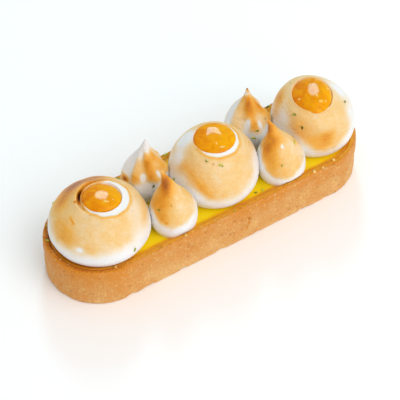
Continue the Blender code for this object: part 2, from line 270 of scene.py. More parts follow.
def make_curd():
    """Lemon curd: saturated yellow, smooth, with a darker amber edge along the pastry that is partly
    painted shade of the rim, and painted shade at the left end under the round meringue.
    """
    material, tree, shader = new_material("lemon_curd_set")
    patches = grain(tree, 260.0, 0.5)
    # The amber edge is partly painted shade of the rim. Its darkest part, at the left end, is painted shade
    # of the round meringue.
    edge = maths(tree, "ADD", attribute(tree, "edge"), remap(tree, patches, 0.0, 1.0, -0.08, 0.08))
    colour = ramp(tree, edge, (
        (0.0, (1.0, 0.73, 0.0)), (0.35, (1.0, 0.64, 0.0)), (0.65, (0.96, 0.46, 0.002)),
        (1.0, (0.72, 0.26, 0.002))))
    tree.links.new(colour, shader.inputs["Base Color"])
    shader.inputs["Roughness"].default_value = 0.36
    shader.inputs["Subsurface Weight"].default_value = 0.2
    shader.inputs["Subsurface Radius"].default_value = (1.0, 0.7, 0.05)
    shader.inputs["Subsurface Scale"].default_value = 1.0 * MM
    tree.links.new(bump(tree, patches, 0.06 * MM, 0.5), shader.inputs["Normal"])
    return material


def make_meringue():
    """Soft meringue: white where the flame missed it, cream to golden brown where it was torched. The same
    value also carries painted shade, near black in the left hollow's groove and dark low in the gaps beside
    the round meringues, and painted highlights as white streaks on the front kisses.
    """
    material, tree, shader = new_material("torched_meringue")
    fine = grain(tree, 1100.0, 0.4)
    patches = noise_value(tree, object_place(tree), 330.0, 3.0, 0.6)
    # This value is torch browning with painted shade and painted highlights mixed in.
    torch_and_painted_light = attribute(tree, "torch_and_painted_light")
    browned = remap(tree, torch_and_painted_light, 0.04, 0.3)
    uneven = maths(tree, "ADD", remap(tree, fine, 0.0, 1.0, -0.035, 0.035),
                   remap(tree, patches, 0.38, 0.62, -0.022, 0.022))
    shade = maths(tree, "ADD", torch_and_painted_light, maths(tree, "MULTIPLY", uneven, browned))
    colour = ramp(tree, shade, (
        (0.0, (0.88, 0.87, 0.875)), (0.10, (0.89, 0.80, 0.67)), (0.28, (0.88, 0.60, 0.265)),
        (0.45, (0.88, 0.45, 0.07)), (0.62, (0.79, 0.30, 0.010)), (0.80, (0.50, 0.14, 0.004)),
        (1.0, (0.10, 0.018, 0.003))))
    pits = maths(tree, "MULTIPLY", speckles(tree, 430.0, 0.20, 0.14), browned)
    colour = mix_colour(tree, maths(tree, "MULTIPLY", pits, 0.5), colour, (0.55, 0.22, 0.03, 1))
    tree.links.new(colour, shader.inputs["Base Color"])
    rough = remap(tree, torch_and_painted_light, 0.0, 0.6, 0.5, 0.36)
    tree.links.new(rough, shader.inputs["Roughness"])
    shader.inputs["Specular IOR Level"].default_value = 0.35
    shader.inputs["Subsurface Weight"].default_value = 0.15
    shader.inputs["Subsurface Radius"].default_value = (1.0, 0.8, 0.6)
    shader.inputs["Subsurface Scale"].default_value = 0.8 * MM
    level = node(tree, "ShaderNodeVectorMath", {"Vector": object_place(tree)}, operation="MULTIPLY")
    level.inputs[1].default_value = (0.3, 0.3, 1.9)
    wrinkles = noise_value(tree, level.outputs["Vector"], 640.0, 2.0, 0.5, 0.7)
    relief = maths(tree, "ADD", maths(tree, "MULTIPLY", fine, 0.35), maths(tree, "MULTIPLY", pits, -0.5))
    relief = maths(tree, "ADD", relief, maths(tree, "MULTIPLY", wrinkles, browned))
    tree.links.new(bump(tree, relief, 0.34 * MM), shader.inputs["Normal"])
    return material


def make_gel():
    """Lemon gel: wet amber, with painted light: darker orange towards the left and back and brighter
    towards the right and front, as if lit through. The pale flecks on its bubbles are painted glints.
    """
    material, tree, shader = new_material("lemon_gel")
    swirl = noise_value(tree, object_place(tree), 240.0, 3.0, 0.55, 1.2)
    # The depth value is a painted light gradient, brighter towards the right front, where light would shine
    # through the gel.
    depth = maths(tree, "ADD", attribute(tree, "depth"), remap(tree, swirl, 0.4, 0.6, -0.22, 0.22))
    colour = ramp(tree, depth, (
        (0.0, (0.92, 0.43, 0.0)), (0.5, (0.86, 0.34, 0.0)), (1.0, (0.74, 0.21, 0.0))))
    # Pale flecks on the bubbles: painted glints.
    colour = mix_colour(tree, attribute(tree, "bubble_and_glint"), colour, (1.0, 0.78, 0.28, 1))
    tree.links.new(colour, shader.inputs["Base Color"])
    shader.inputs["Roughness"].default_value = 0.05
    shader.inputs["IOR"].default_value = 1.38
    shader.inputs["Specular IOR Level"].default_value = 0.22
    shader.inputs["Subsurface Weight"].default_value = 0.25
    shader.inputs["Subsurface Radius"].default_value = (1.0, 0.45, 0.02)
    shader.inputs["Subsurface Scale"].default_value = 1.5 * MM
    return material


def make_small(name, scale, roughness, stops):
    """The look of small scattered things, whose colour changes from place to place."""
    material, tree, shader = new_material(name)
    shade = noise_value(tree, object_place(tree), scale, 2.0)
    tree.links.new(ramp(tree, shade, stops), shader.inputs["Base Color"])
    shader.inputs["Roughness"].default_value = roughness
    return material


def make_zest():
    """Lime zest: deep green rind with paler pith on some shreds."""
    return make_small("lime_zest", 420.0, 0.45, (
        (0.38, (0.10, 0.13, 0.012)), (0.48, (0.30, 0.34, 0.02)), (0.6, (0.66, 0.64, 0.07))))


def make_crumb():
    """Crumbs of the shortcrust, pale inside and toasted outside."""
    return make_small("shortcrust_crumb", 500.0, 0.7, (
        (0.38, (0.70, 0.36, 0.07)), (0.5, (0.92, 0.64, 0.20)), (0.62, (0.95, 0.76, 0.34))))


# Meshes

def sharpen(value, low, high):
    """A smooth step from 0 at low to 1 at high, for arrays."""
    share = np.clip((value - low) / (high - low), 0, 1)
    return share * share * (3 - 2 * share)


def noise_at(points, scale, seed=0):
    """Smooth noise between -1 and 1 at each point."""
    offset = Vector((seed * 7.3, seed * 3.1, seed * 5.7))
    return np.array([noise.noise(Vector(point) * scale + offset) for point in points])


def ring_mesh(name, rings):
    """A closed mesh through rings of points, from the lowest ring to the last, with both ends capped."""
    count = len(rings[0])
    points = [Vector(point) for ring in rings for point in ring]
    faces = []
    for row in range(len(rings) - 1):
        for step in range(count):
            after = (step + 1) % count
            faces.append((row * count + step, row * count + after,
                          (row + 1) * count + after, (row + 1) * count + step))
    for row, order in ((0, -1), (len(rings) - 1, 1)):
        middle = sum((Vector(p) for p in rings[row]), Vector()) / count
        points.append(middle)
        for step in range(count):
            pair = (row * count + step, row * count + (step + 1) % count)
            faces.append((*pair[::order], len(points) - 1))
    mesh = bpy.data.meshes.new(name)
    mesh.from_pydata(points, [], faces)
    mesh.validate()
    return mesh


def subdivided(mesh, levels):
    """The mesh after Subdivision Surface, as plain mesh data."""
    carrier = bpy.data.objects.new("carrier", mesh)
    bpy.context.scene.collection.objects.link(carrier)
    smooth = carrier.modifiers.new("smooth", "SUBSURF")
    smooth.levels = levels
    smooth.render_levels = levels
    evaluated = carrier.evaluated_get(bpy.context.evaluated_depsgraph_get())
    fine = bpy.data.meshes.new_from_object(evaluated)
    bpy.data.objects.remove(carrier, do_unlink=True)
    bpy.data.meshes.remove(mesh)
    return fine


def places_of(mesh):
    places = np.empty(len(mesh.vertices) * 3)
    mesh.vertices.foreach_get("co", places)
    return places.reshape(-1, 3)


def normals_of(mesh):
    normals = np.empty(len(mesh.vertices) * 3)
    mesh.vertices.foreach_get("normal", normals)
    return normals.reshape(-1, 3)


def move_to(mesh, places):
    mesh.vertices.foreach_set("co", places.astype(np.float64).ravel())
    mesh.update()


def set_value(mesh, name, values):
    layer = mesh.attributes.new(name, "FLOAT", "POINT")
    layer.data.foreach_set("value", np.asarray(values, dtype=np.float32))


def finish_piece(name, mesh, material, nodes):
    """Makes a mesh a piece of the tart that stands for the given nodes."""
    mesh.name = name
    mesh.materials.clear()
    mesh.materials.append(material)
    mesh.shade_smooth()
    piece = bpy.data.objects.new(name, mesh)
    bpy.context.scene.collection.objects.link(piece)
    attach(piece, "root")
    if nodes:
        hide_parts(*nodes)
    return piece


# Pastry case and curd

def outline_point(step, inset):
    """A point of the round-ended outline, moved inwards by inset."""
    radius = CASE_WIDTH / 2 - inset
    half, place = divmod(step, ARC_STEPS + STRAIGHT_STEPS)
    sign = 1 if half % 2 == 0 else -1
    if place < ARC_STEPS:
        angle = -math.pi / 2 + math.pi * place / ARC_STEPS
        return sign * (HALF_STRAIGHT + radius * math.cos(angle)), sign * radius * math.sin(angle)
    share = (place - ARC_STEPS) / STRAIGHT_STEPS
    return sign * HALF_STRAIGHT * (1 - 2 * share), sign * radius


def outline_rings(levels):
    count = 2 * (ARC_STEPS + STRAIGHT_STEPS)
    return [[(*outline_point(step, inset), height) for step in range(count)] for inset, height in levels]


def inset_of(places):
    """How far inside the case's outer outline each point lies."""
    near = np.clip(places[:, 0], -HALF_STRAIGHT, HALF_STRAIGHT)
    return CASE_WIDTH / 2 - np.hypot(places[:, 0] - near, places[:, 1])


# Fine crack in the front wall: X and Z of its bends
CRACK = ((7.6, 12.6), (7.0, 10.4), (7.2, 8.6), (6.3, 6.0), (5.8, 3.6))
CRACK_HALF_WIDTH = 0.45 * MM


def crack_share(places):
    """1 along the middle of the crack in the front wall, 0 beside it and past its ends."""
    heights = [z * MM for _, z in CRACK][::-1]
    middles = [x * MM for x, _ in CRACK][::-1]
    aside = np.abs(places[:, 0] - np.interp(places[:, 2], heights, middles))
    foot = sharpen(places[:, 2], heights[0], heights[1])
    head = sharpen(-places[:, 2], -heights[-1], -heights[-2])
    front = places[:, 1] < -CASE_WIDTH / 2 + 1 * MM
    return sharpen(-aside, -CRACK_HALF_WIDTH, 0) * foot * head * front


def build_case(material):
    top = CASE_HEIGHT
    levels = [
        (6 * MM, 0), (1.2 * MM, 0), (0.25 * MM, 0.15 * MM), (0, 0.8 * MM), (0, 4.5 * MM), (0, 8.5 * MM),
        (0, 12.5 * MM), (0, top - 1.0 * MM), (0.2 * MM, top - 0.25 * MM), (0.7 * MM, top),
        (WALL - 0.6 * MM, top), (WALL - 0.1 * MM, top - 0.4 * MM), (WALL, top - 1.2 * MM),
        (WALL, FLOOR + 2 * MM), (WALL + 1.4 * MM, FLOOR), (WALL + 6 * MM, FLOOR),
    ]
    mesh = subdivided(ring_mesh("case", outline_rings(levels)), 3)
    places, normals = places_of(mesh), normals_of(mesh)
    inset = inset_of(places)
    outer = sharpen(-inset, -1.6 * MM, -0.3 * MM) * sharpen(places[:, 2], 0.1 * MM, 1.0 * MM)
    rim = sharpen(places[:, 2], top - 1.6 * MM, top - 0.2 * MM)
    lumps = noise_at(places, 160) * 0.22 + noise_at(places, 420, 1) * 0.14
    sand = noise_at(places, 900, 2) * 0.10 + noise_at(places, 1500, 3) * 0.05
    foot = sharpen(-places[:, 2], -1.8 * MM, -0.3 * MM) * sharpen(noise_at(places, 330, 6), 0.0, 0.5)
    crack = crack_share(places)
    relief = (lumps - 0.12) * np.maximum(outer, rim) + sand * (0.3 + 0.7 * np.maximum(outer, rim))
    relief -= 0.45 * foot * sharpen(-inset, -1.6 * MM, -0.3 * MM) + 0.5 * crack
    move_to(mesh, places + normals * (relief * MM)[:, None])
    uneven = noise_at(places, 60, 4) * 0.08 + noise_at(places, 200, 5) * 0.09
    bake_and_shade = 0.13 + 0.23 * places[:, 2] / top + uneven
    under_rim = sharpen(places[:, 2], top - 3.8 * MM, top - 1.9 * MM) * outer * (1 - rim)
    lip = sharpen(inset, 0.3 * MM, 1.4 * MM) * rim
    inner = sharpen(inset, WALL - 0.9 * MM, WALL - 0.3 * MM)
    end = sharpen(-places[:, 0], HALF_STRAIGHT - 9 * MM, HALF_STRAIGHT + 8 * MM)
    # The deep orange of the inner wall and the extra darkening at the left end are partly painted shade
    # from the rim and the left round meringue. The darkening along the crack is painted shade.
    bake_and_shade += 0.07 * under_rim + 0.20 * np.maximum(lip, inner) + 0.10 * inner
    bake_and_shade += end * (0.08 + 0.10 * rim + 0.10 * inner) + 0.5 * crack
    set_value(mesh, "bake_and_shade", bake_and_shade)
    set_value(mesh, "soaked", sharpen(inset, 0.4 * MM, WALL) * rim * (1 - end))
    return finish_piece("pastry_case", mesh, material, ["crust"])


def build_curd(material):
    inset = WALL + GAP
    levels = [
        (inset + 6 * MM, FLOOR + GAP), (inset + 1.4 * MM, FLOOR + GAP), (inset, FLOOR + 2.3 * MM),
        (inset, CURD_TOP - 1.5 * MM), (WALL - 0.2 * MM, CURD_TOP + 0.3 * MM),
        (WALL - 0.1 * MM, CURD_TOP + 1.25 * MM), (WALL + 0.5 * MM, CURD_TOP + 1.1 * MM),
        (inset + 0.9 * MM, CURD_TOP + 0.65 * MM), (inset + 2 * MM, CURD_TOP + 0.25 * MM),
        (inset + 4 * MM, CURD_TOP + 0.02 * MM), (inset + 8 * MM, CURD_TOP),
    ]
    mesh = subdivided(ring_mesh("curd", outline_rings(levels)), 2)
    places = places_of(mesh)
    inward = inset_of(places)
    upper = sharpen(places[:, 2], CURD_TOP - 1 * MM, CURD_TOP - 0.2 * MM)
    places[:, 2] += (noise_at(places, 110) * 0.14 + noise_at(places, 400, 1) * 0.04 - 0.05) * MM * upper
    move_to(mesh, places)
    # Towards the pastry wall the curd turns darker amber, partly as painted shade of the rim. At the left
    # end, under the round meringue, it is painted shade.
    wander = noise_at(places, 220, 2) * 0.5 * MM
    edge = 1 - sharpen(inward + wander, inset - 0.6 * MM, inset + 3.4 * MM)
    overhang_shade = sharpen(-places[:, 0], HALF_STRAIGHT + 2 * MM, HALF_STRAIGHT + 9 * MM)
    set_value(mesh, "edge", np.maximum(edge, overhang_shade))
    return finish_piece("curd_filling", mesh, material, ["lemon_curd"])


# Round meringues and their gel

def round_values(key):
    x, y, widest, foot, waist, crown, hollow = (v * MM for v in ROUNDS[key])
    return Vector((x, y, 0)), widest, foot, waist, crown, hollow


def round_radius(key, height):
    _, widest, foot, waist, crown, _ = round_values(key)
    if height < waist:
        tilt = math.acos(foot / widest)
        share = max(-1.0, (height - waist) / (waist / math.sin(tilt)))
        return widest * math.sqrt(1 - share * share)
    share = min(1.0, (height - waist) / (crown - waist))
    return widest * math.sqrt(max(0.0, 1 - share * share))


def round_height(key, radius):
    _, widest, _, waist, crown, _ = round_values(key)
    return waist + (crown - waist) * math.sqrt(max(0.0, 1 - (radius / widest) ** 2))


def hollow_height(key, radius):
    hollow = round_values(key)[5]
    rim = round_height(key, hollow) - 0.2 * MM
    return rim - HOLLOW_DEPTH * math.sqrt(max(0.0, 1 - (radius / hollow) ** 2))


def keep_in_case(point):
    """Moves a point that lies lower than the rim back inside the pastry wall."""
    if point.z > CASE_HEIGHT + GAP + 0.1 * MM:
        return point
    near = Vector((max(-HALF_STRAIGHT, min(HALF_STRAIGHT, point.x)), 0))
    away = Vector((point.x, point.y)) - near
    room = CASE_WIDTH / 2 - WALL - 0.05 * MM
    if away.length > room:
        away = away.normalized() * room
    return Vector((near.x + away.x, near.y + away.y, point.z))


def groove_share(angle):
    away = abs((angle - GROOVE_SIDE + math.pi) % math.tau - math.pi)
    deep = max(0.0, math.cos(math.pi / 2 * min(1.0, away / GROOVE_REACH))) ** 0.8
    return 0.12 + 0.88 * deep


def stretched(key, across, along, share=1.0):
    """A place about the axis of a hollow, drawn out along the side to which the hollow is stretched."""
    cosine, sine = math.cos(STRETCH_SIDE), math.sin(STRETCH_SIDE)
    longer = (across * cosine + along * sine) * ((HOLLOW_STRETCH[key] - 1) * share)
    return across + longer * cosine, along + longer * sine


def from_hollow(key, places):
    """Angle and distance from the middle of a hollow, with its stretch taken out."""
    centre = round_values(key)[0]
    across = places[:, 0] - centre.x - HOLLOW_SHIFT[key][0] * MM
    along = places[:, 1] - centre.y - HOLLOW_SHIFT[key][1] * MM
    cosine, sine = math.cos(STRETCH_SIDE), math.sin(STRETCH_SIDE)
    shorter = (across * cosine + along * sine) * (1 / HOLLOW_STRETCH[key] - 1)
    across = across + shorter * cosine
    along = along + shorter * sine
    return np.arctan2(along, across), np.hypot(across, along)


def round_rings(key):
    """Rings of (radius, height, share of the shift towards the hollow, share of the groove)."""
    _, widest, foot, waist, crown, hollow = round_values(key)
    tilt = math.acos(foot / widest)
    rings = [(foot * 0.5, -FOOT_DIP, 0, 0), (foot * 0.93, -FOOT_DIP, 0, 0), (foot * 0.98, 0, 0, 0)]
    for k in range(4):
        angle = -tilt * (1 - k / 4) + tilt / 10
        height = waist + waist / math.sin(tilt) * math.sin(angle)
        rings.append((widest * math.cos(angle), max(height, 0.5 * MM), 0, 0))
    stop = math.acos((hollow + 2.9 * MM) / widest)
    steps = 9
    for k in range(steps + 1):
        angle = stop * k / steps
        share = max(0.0, (angle / stop - 0.4) / 0.6)
        cut = -0.35 if k == steps else 0
        rings.append((widest * math.cos(angle), waist + (crown - waist) * math.sin(angle), share, cut))
    for away, cut in ((1.9, -0.3), (1.5, 0.8), (1.1, 1.0), (0.75, 0.9), (0.5, 0.15)):
        radius = hollow + away * MM
        rings.append((radius, round_height(key, radius), 1, cut))
    top = round_height(key, hollow)
    rings.append((hollow + 0.36 * MM, top - 0.08 * MM, 1, 0))
    rings.append((hollow + 0.2 * MM, top - 0.2 * MM, 1, 0))
    rings.append((hollow + 0.03 * MM, top - 0.5 * MM, 1, 0))
    for share in (0.93, 0.8, 0.6, 0.32):
        rings.append((hollow * share, hollow_height(key, hollow * share), 1, 0))
    return rings


ROUND_SEGMENTS = 40


def build_round(key, material):
    centre = round_values(key)[0]
    shift = Vector((*HOLLOW_SHIFT[key], 0)) * MM
    rings = []
    for radius, height, share, cut in round_rings(key):
        ring = []
        for step in range(ROUND_SEGMENTS):
            angle = math.tau * step / ROUND_SEGMENTS
            lower = GROOVE_DEPTH[key] * cut * groove_share(angle)
            across, along = stretched(key, math.cos(angle), math.sin(angle), share)
            point = centre + Vector((across, along, 0)) * radius + shift * share
            ring.append(keep_in_case(Vector((point.x, point.y, BASE + height - lower))))
        rings.append(ring)
    mesh = subdivided(ring_mesh(f"round_{key}", rings), 3)
    places, normals = places_of(mesh), normals_of(mesh)
    angle, radius, height = around(places, centre)
    hollow = round_values(key)[5]
    free = sharpen(height, 0.6 * MM, 2.5 * MM)
    waves = noise_at(places, 95, 1) * 0.32 + noise_at(places, 260, 2) * 0.10 - ROUND_SLIMMER[key]
    turns = np.sin(height / MM * 4.2 + angle + noise_at(places, 90, 3) * 2.2) * 0.05
    turns = turns * sharpen(noise_at(places, 70, 4), -0.2, 0.5)
    pores = noise_at(places, 900, 5) * 0.02
    lip = sharpen(-radius, -hollow - 3 * MM, -hollow - 1 * MM) * noise_at(places, 230, 7) * 0.3
    relief = (waves * sharpen(radius, hollow * 0.9, hollow * 1.5) + turns + pores + lip) * free
    move_to(mesh, places + normals * (relief * MM)[:, None])
    set_value(mesh, "torch_and_painted_light", torch_and_painted_light_on_round(key, places))
    return finish_piece(f"round_{key}", mesh, material, [f"meringue_{key}"])


def around(places, centre):
    """Angle and distance about an upright axis, and height above the curd."""
    across = places[:, 0] - centre.x
    along = places[:, 1] - centre.y
    return np.arctan2(along, across), np.hypot(across, along), places[:, 2] - BASE


def spot(places, centre, degrees, reach, height, size, flat=1.0):
    """A soft round patch on a turned piece, 1 at its middle and 0 outside its size, all in mm."""
    angle = math.radians(degrees)
    middle = np.array((centre.x + math.cos(angle) * reach * MM, centre.y + math.sin(angle) * reach * MM,
                       BASE + height * MM))
    away = (places - middle) / (size * MM)
    away[:, 2] /= flat
    return np.exp(-2.2 * (away ** 2).sum(axis=1))


# Where the flame played on the round meringues: angle, distance from the axis, height, size, flatness
# and how much browner. A negative amount is a place that it left white
ROUND_SPOTS = {
    "left": (
        (105, 13, 15.5, 9, 1.0, 0.55), (62, 11.5, 17.5, 8, 1.0, 0.42), (142, 13.5, 15, 6, 1.0, 0.30),
        (178, 15.2, 13.5, 6, 1.0, 0.13), (-164, 16.4, 11.5, 5.5, 1.0, 0.18),
        (158, 17.3, 10.4, 3.5, 1.0, -0.1), (-117, 12.7, 16.4, 7, 1.0, -0.03),
        (-65, 17.6, 9.9, 6, 1.0, -0.14), (-53, 14, 16.3, 7, 1.0, -0.10), (-130, 18, 9.5, 4, 0.8, 0.10),
        (-143, 17.6, 9.8, 2.2, 0.7, -0.4), (163, 8.2, 19.2, 0.8, 1.0, 0.6),
        (-176, 12.1, 17.0, 0.6, 1.0, 0.3), (-172.8, 12.3, 16.9, 0.6, 1.0, 0.35),
        (-169.5, 12.5, 16.7, 0.6, 1.0, 0.4), (-166.2, 12.7, 16.5, 0.6, 1.0, 0.4),
        (-163, 12.9, 16.3, 0.6, 1.0, 0.35),
    ),
    "middle": (
        (135, 10.5, 19.7, 5.5, 1.0, -0.6), (157, 15.6, 11.6, 4.5, 1.3, -0.35),
        (-173, 15.8, 11.3, 3.5, 1.0, -0.2), (165, 13.4, 16.4, 4.0, 1.0, -0.4),
        (-163, 13.2, 16.5, 4.5, 1.0, 0.13), (-142, 15.2, 12.5, 5, 1.0, 0.22),
        (-129, 16.4, 8.9, 4.5, 1.0, 0.16), (-110, 12.6, 17.8, 6, 1.0, -0.03),
        (-40, 15.5, 12.8, 6, 1.0, -0.22), (112, 14, 15, 5, 1.0, 0.25),
    ),
    "right": (
        (-142, 14.2, 16.5, 5.5, 1.0, 0.13), (-126, 15.3, 10.8, 5, 1.0, 0.16),
        (-112, 15.8, 6.9, 5, 1.0, 0.14), (-177, 14.4, 15.4, 5, 1.0, -0.40),
        (138, 13.4, 17.4, 4.5, 1.0, 0.25), (150, 12, 18, 3.5, 1.0, 0.2), (-12, 10.2, 18.4, 7, 1.0, -0.35),
        (-48, 14.3, 14.2, 5.5, 1.0, -0.28), (-77, 15.7, 6.8, 3.5, 1.0, -0.12),
        (-105, 15.4, 12, 5.5, 1.0, 0.30),
    ),
}
# Height at which the browning begins, by angle in degrees, in mm above the curd
ROUND_BANDS = {
    "left": ((-175, 8.0), (-133, 8.6), (-85, 9.4), (-27, 9.3), (60, 9.0), (168, 9.4)),
    "middle": ((-168, 14.1), (-148, 11.6), (-134, 8.6), (-112, 6.4), (-88, 6.5), (-67, 10.0), (-43, 13.7),
               (30, 15.0), (110, 12.0)),
    "right": ((-158, 14.0), (-136, 9.4), (-117, 5.8), (-94, 4.2), (-76, 8.5), (-48, 14.2), (30, 15.0),
              (120, 12.0)),
}
# White lip of the hollow: least and greatest width in mm, and the angle at which it is widest
COLLARS = {"left": (-0.2, 2.9, -33), "middle": (-1.0, 1.6, -75), "right": (-1.0, -1.0, 0)}
# How far the noise draws each surface inwards, in mm
ROUND_SLIMMER = {"left": 0.22, "middle": 0.0, "right": 0.0}


def band_height(bands, angle):
    """Height at which the browning begins at each angle."""
    return np.interp(np.degrees(angle), [at for at, _ in bands], [high for _, high in bands],
                     period=360) * MM


def angle_away(angle, degrees):
    return np.abs((angle - math.radians(degrees) + math.pi) % math.tau - math.pi)


def torch_and_painted_light_on_round(key, places):
    centre, _, _, _, _, hollow = round_values(key)
    angle, radius, height = around(places, centre)
    wander = noise_at(places, 130, 11) * 1.4 * MM + noise_at(places, 420, 12) * 0.5 * MM
    start = band_height(ROUND_BANDS[key], angle)
    lit = sharpen(height + wander, start - 3.0 * MM, start + 2.8 * MM)
    lit = np.maximum(lit, sharpen(-radius, -hollow * 1.6, -hollow * 1.35))
    torch_and_painted_light = 0.29 + 0.05 * noise_at(places, 75, 13) + 0.04 * noise_at(places, 240, 14)
    for degrees, reach, high, size, flat, amount in ROUND_SPOTS[key]:
        torch_and_painted_light = torch_and_painted_light + amount * spot(places, centre, degrees, reach, high, size, flat)
    turn, about = from_hollow(key, places)
    least, most, side = COLLARS[key]
    facing = 0.5 + 0.5 * np.cos(turn - math.radians(side))
    width = (least + (most - least) * facing + noise_at(places, 300, 15) * 0.4) * MM
    collar = sharpen(width + hollow - about, -0.3 * MM, 0.4 * MM)
    line = np.exp(-((about - hollow - width - 0.5 * MM) / (0.4 * MM)) ** 2) * (width > 0)
    torch_and_painted_light = np.clip(torch_and_painted_light + 0.18 * line, 0, 1) * (1 - 0.95 * collar) * lit
    # Near black-brown ring along the left hollow's groove: partly burnt meringue, partly painted shade in
    # the groove.
    if GROOVE_DEPTH[key]:
        ring = np.exp(-((about - hollow - 1.0 * MM) / (1.0 * MM)) ** 2)
        burnt_and_shaded = np.exp(-(angle_away(turn, 130) / 0.45) ** 2) * 1.25
        browned = 1 - sharpen(angle_away(turn, 110), math.radians(40), math.radians(65))
        torch_and_painted_light = np.maximum(torch_and_painted_light, ring * np.maximum(burnt_and_shaded, 0.72 * browned))
    return torch_and_painted_light


def build_gel(key, material):
    centre, _, _, _, _, hollow = round_values(key)
    shift = Vector((*HOLLOW_SHIFT[key], 0)) * MM
    level = BASE + round_height(key, hollow) - (0.2 + GEL_LEVEL[key]) * MM
    crown = GEL_CROWN[key] * MM
    edge = hollow * math.sqrt(1 - (GEL_LEVEL[key] * MM / HOLLOW_DEPTH) ** 2) + GEL_SPREAD[key] * MM
    profile = []
    for share in (0.35, 0.65, 0.88):
        profile.append((edge * share, BASE + hollow_height(key, edge * share) + GAP))
    profile += [(edge * 0.96, level - 0.5 * MM), (edge, level - 0.1 * MM)]
    for share in (0.96, 0.85, 0.65, 0.35):
        profile.append((edge * share, level + crown * math.sqrt(1 - share ** 2)))
    rings = []
    for radius, height in profile:
        ring = []
        for step in range(ROUND_SEGMENTS):
            angle = math.tau * step / ROUND_SEGMENTS
            drip = GEL_DRIP[key] * math.exp(-(float(angle_away(angle, GEL_DRIP_SIDE)) / 0.5) ** 2)
            reach = radius * (1 + 0.018 * math.sin(3 * angle + centre.x * 900)) + drip * MM * radius / edge
            across, along = stretched(key, math.cos(angle) * reach, math.sin(angle) * reach)
            ring.append(centre + shift + Vector((across, along, height)))
        rings.append(ring)
    mesh = subdivided(ring_mesh(f"gel_{key}", rings), 2)
    places = places_of(mesh)
    across = places[:, 0] - centre.x - shift.x
    along = places[:, 1] - centre.y - shift.y
    bubble_and_glint = np.zeros(len(places))
    for degrees, reach, size in GEL_BUBBLES[key]:
        x = across - math.cos(math.radians(degrees)) * reach * MM
        y = along - math.sin(math.radians(degrees)) * reach * MM
        bubble_and_glint = np.maximum(bubble_and_glint, 1 - sharpen(np.hypot(x, y), 0.2 * size * MM, 0.65 * size * MM))
    inside = np.maximum(0, 1 - ((across ** 2 + along ** 2) / edge ** 2) ** 2)
    slope = GEL_SLOPE[key][0] * across + GEL_SLOPE[key][1] * along
    lift = np.where(slope > 0, slope * inside, slope)
    lift *= sharpen(places[:, 2], level - 1.2 * MM, level - 0.3 * MM)
    upper = sharpen(places[:, 2], level, level + 0.5 * MM)
    places[:, 2] += lift + (noise_at(places, 230, 6) * 0.03 + bubble_and_glint * 0.12) * MM * upper
    move_to(mesh, places)
    # Painted light: the gel is darker towards the left and back and brighter towards the right and front.
    set_value(mesh, "depth", 0.55 + (0.15 * along - 0.32 * across) / edge)
    # The bubbles' pale colour is painted glints. Their small bulge is real relief.
    set_value(mesh, "bubble_and_glint", bubble_and_glint * upper)
    return finish_piece(f"gel_pool_{key}", mesh, material, [f"gel_{key}"])


# Kisses

def push_from_rounds(point):
    """A kiss gives way to its round neighbours: a point well inside one moves out to its side."""
    for key in ROUNDS:
        centre = round_values(key)[0]
        away = Vector((point.x - centre.x, point.y - centre.y))
        room = round_radius(key, point.z - BASE) - GAP
        if away.length < room:
            away = away.normalized() * room
            point = Vector((centre.x + away.x, centre.y + away.y, point.z))
    return point


KISS_SEGMENTS = 28


def build_kiss(key, material):
    x, y, widest, height, lean_x, lean_y = (v * MM for v in KISSES[key][:6])
    folds, depth = KISSES[key][6], KISSES[key][7] * MM
    centre = Vector((x, y, BASE))
    lean = Vector((lean_x, lean_y, 0))
    profile = [(widest * 0.4, -FOOT_DIP), (widest * 0.84, -FOOT_DIP)]
    profile += [(widest * wide, height * high) for high, wide in KISS_OUTLINE]
    profile.append((widest * 0.02, height * 0.995))
    rings = []
    for number, (radius, up) in enumerate(profile):
        share = up / height
        ring = []
        for step in range(KISS_SEGMENTS):
            angle = math.tau * step / KISS_SEGMENTS
            wide = radius
            if folds and number > 3:
                fold = math.cos(folds * (angle + 1.3 * share)) * math.sin(math.pi * min(1, share * 1.15))
                wide += depth * fold * min(1.0, radius / (0.3 * widest))
            direction = Vector((math.cos(angle), math.sin(angle), 0))
            bend = lean * max(0.0, share) ** LEAN_CURVE
            point = centre + direction * wide + bend + Vector((0, 0, up))
            ring.append(keep_in_case(push_from_rounds(point)))
        rings.append(ring)
    mesh = subdivided(ring_mesh(f"peak_{key}", rings), 3)
    places, normals = places_of(mesh), normals_of(mesh)
    high = places[:, 2] - BASE
    free = sharpen(high, 0.8 * MM, 3 * MM) * sharpen(-high, -height, -height * 0.8)
    waves = noise_at(places, 150, 21) * 0.28 + noise_at(places, 420, 22) * 0.08
    pores = noise_at(places, 1100, 23) * 0.02
    move_to(mesh, places + normals * ((waves * free + pores) * MM)[:, None])
    set_value(mesh, "torch_and_painted_light", torch_and_painted_light_on_kiss(key, places))
    return finish_piece(f"peak_{key}", mesh, material, [f"kiss_{key}"])


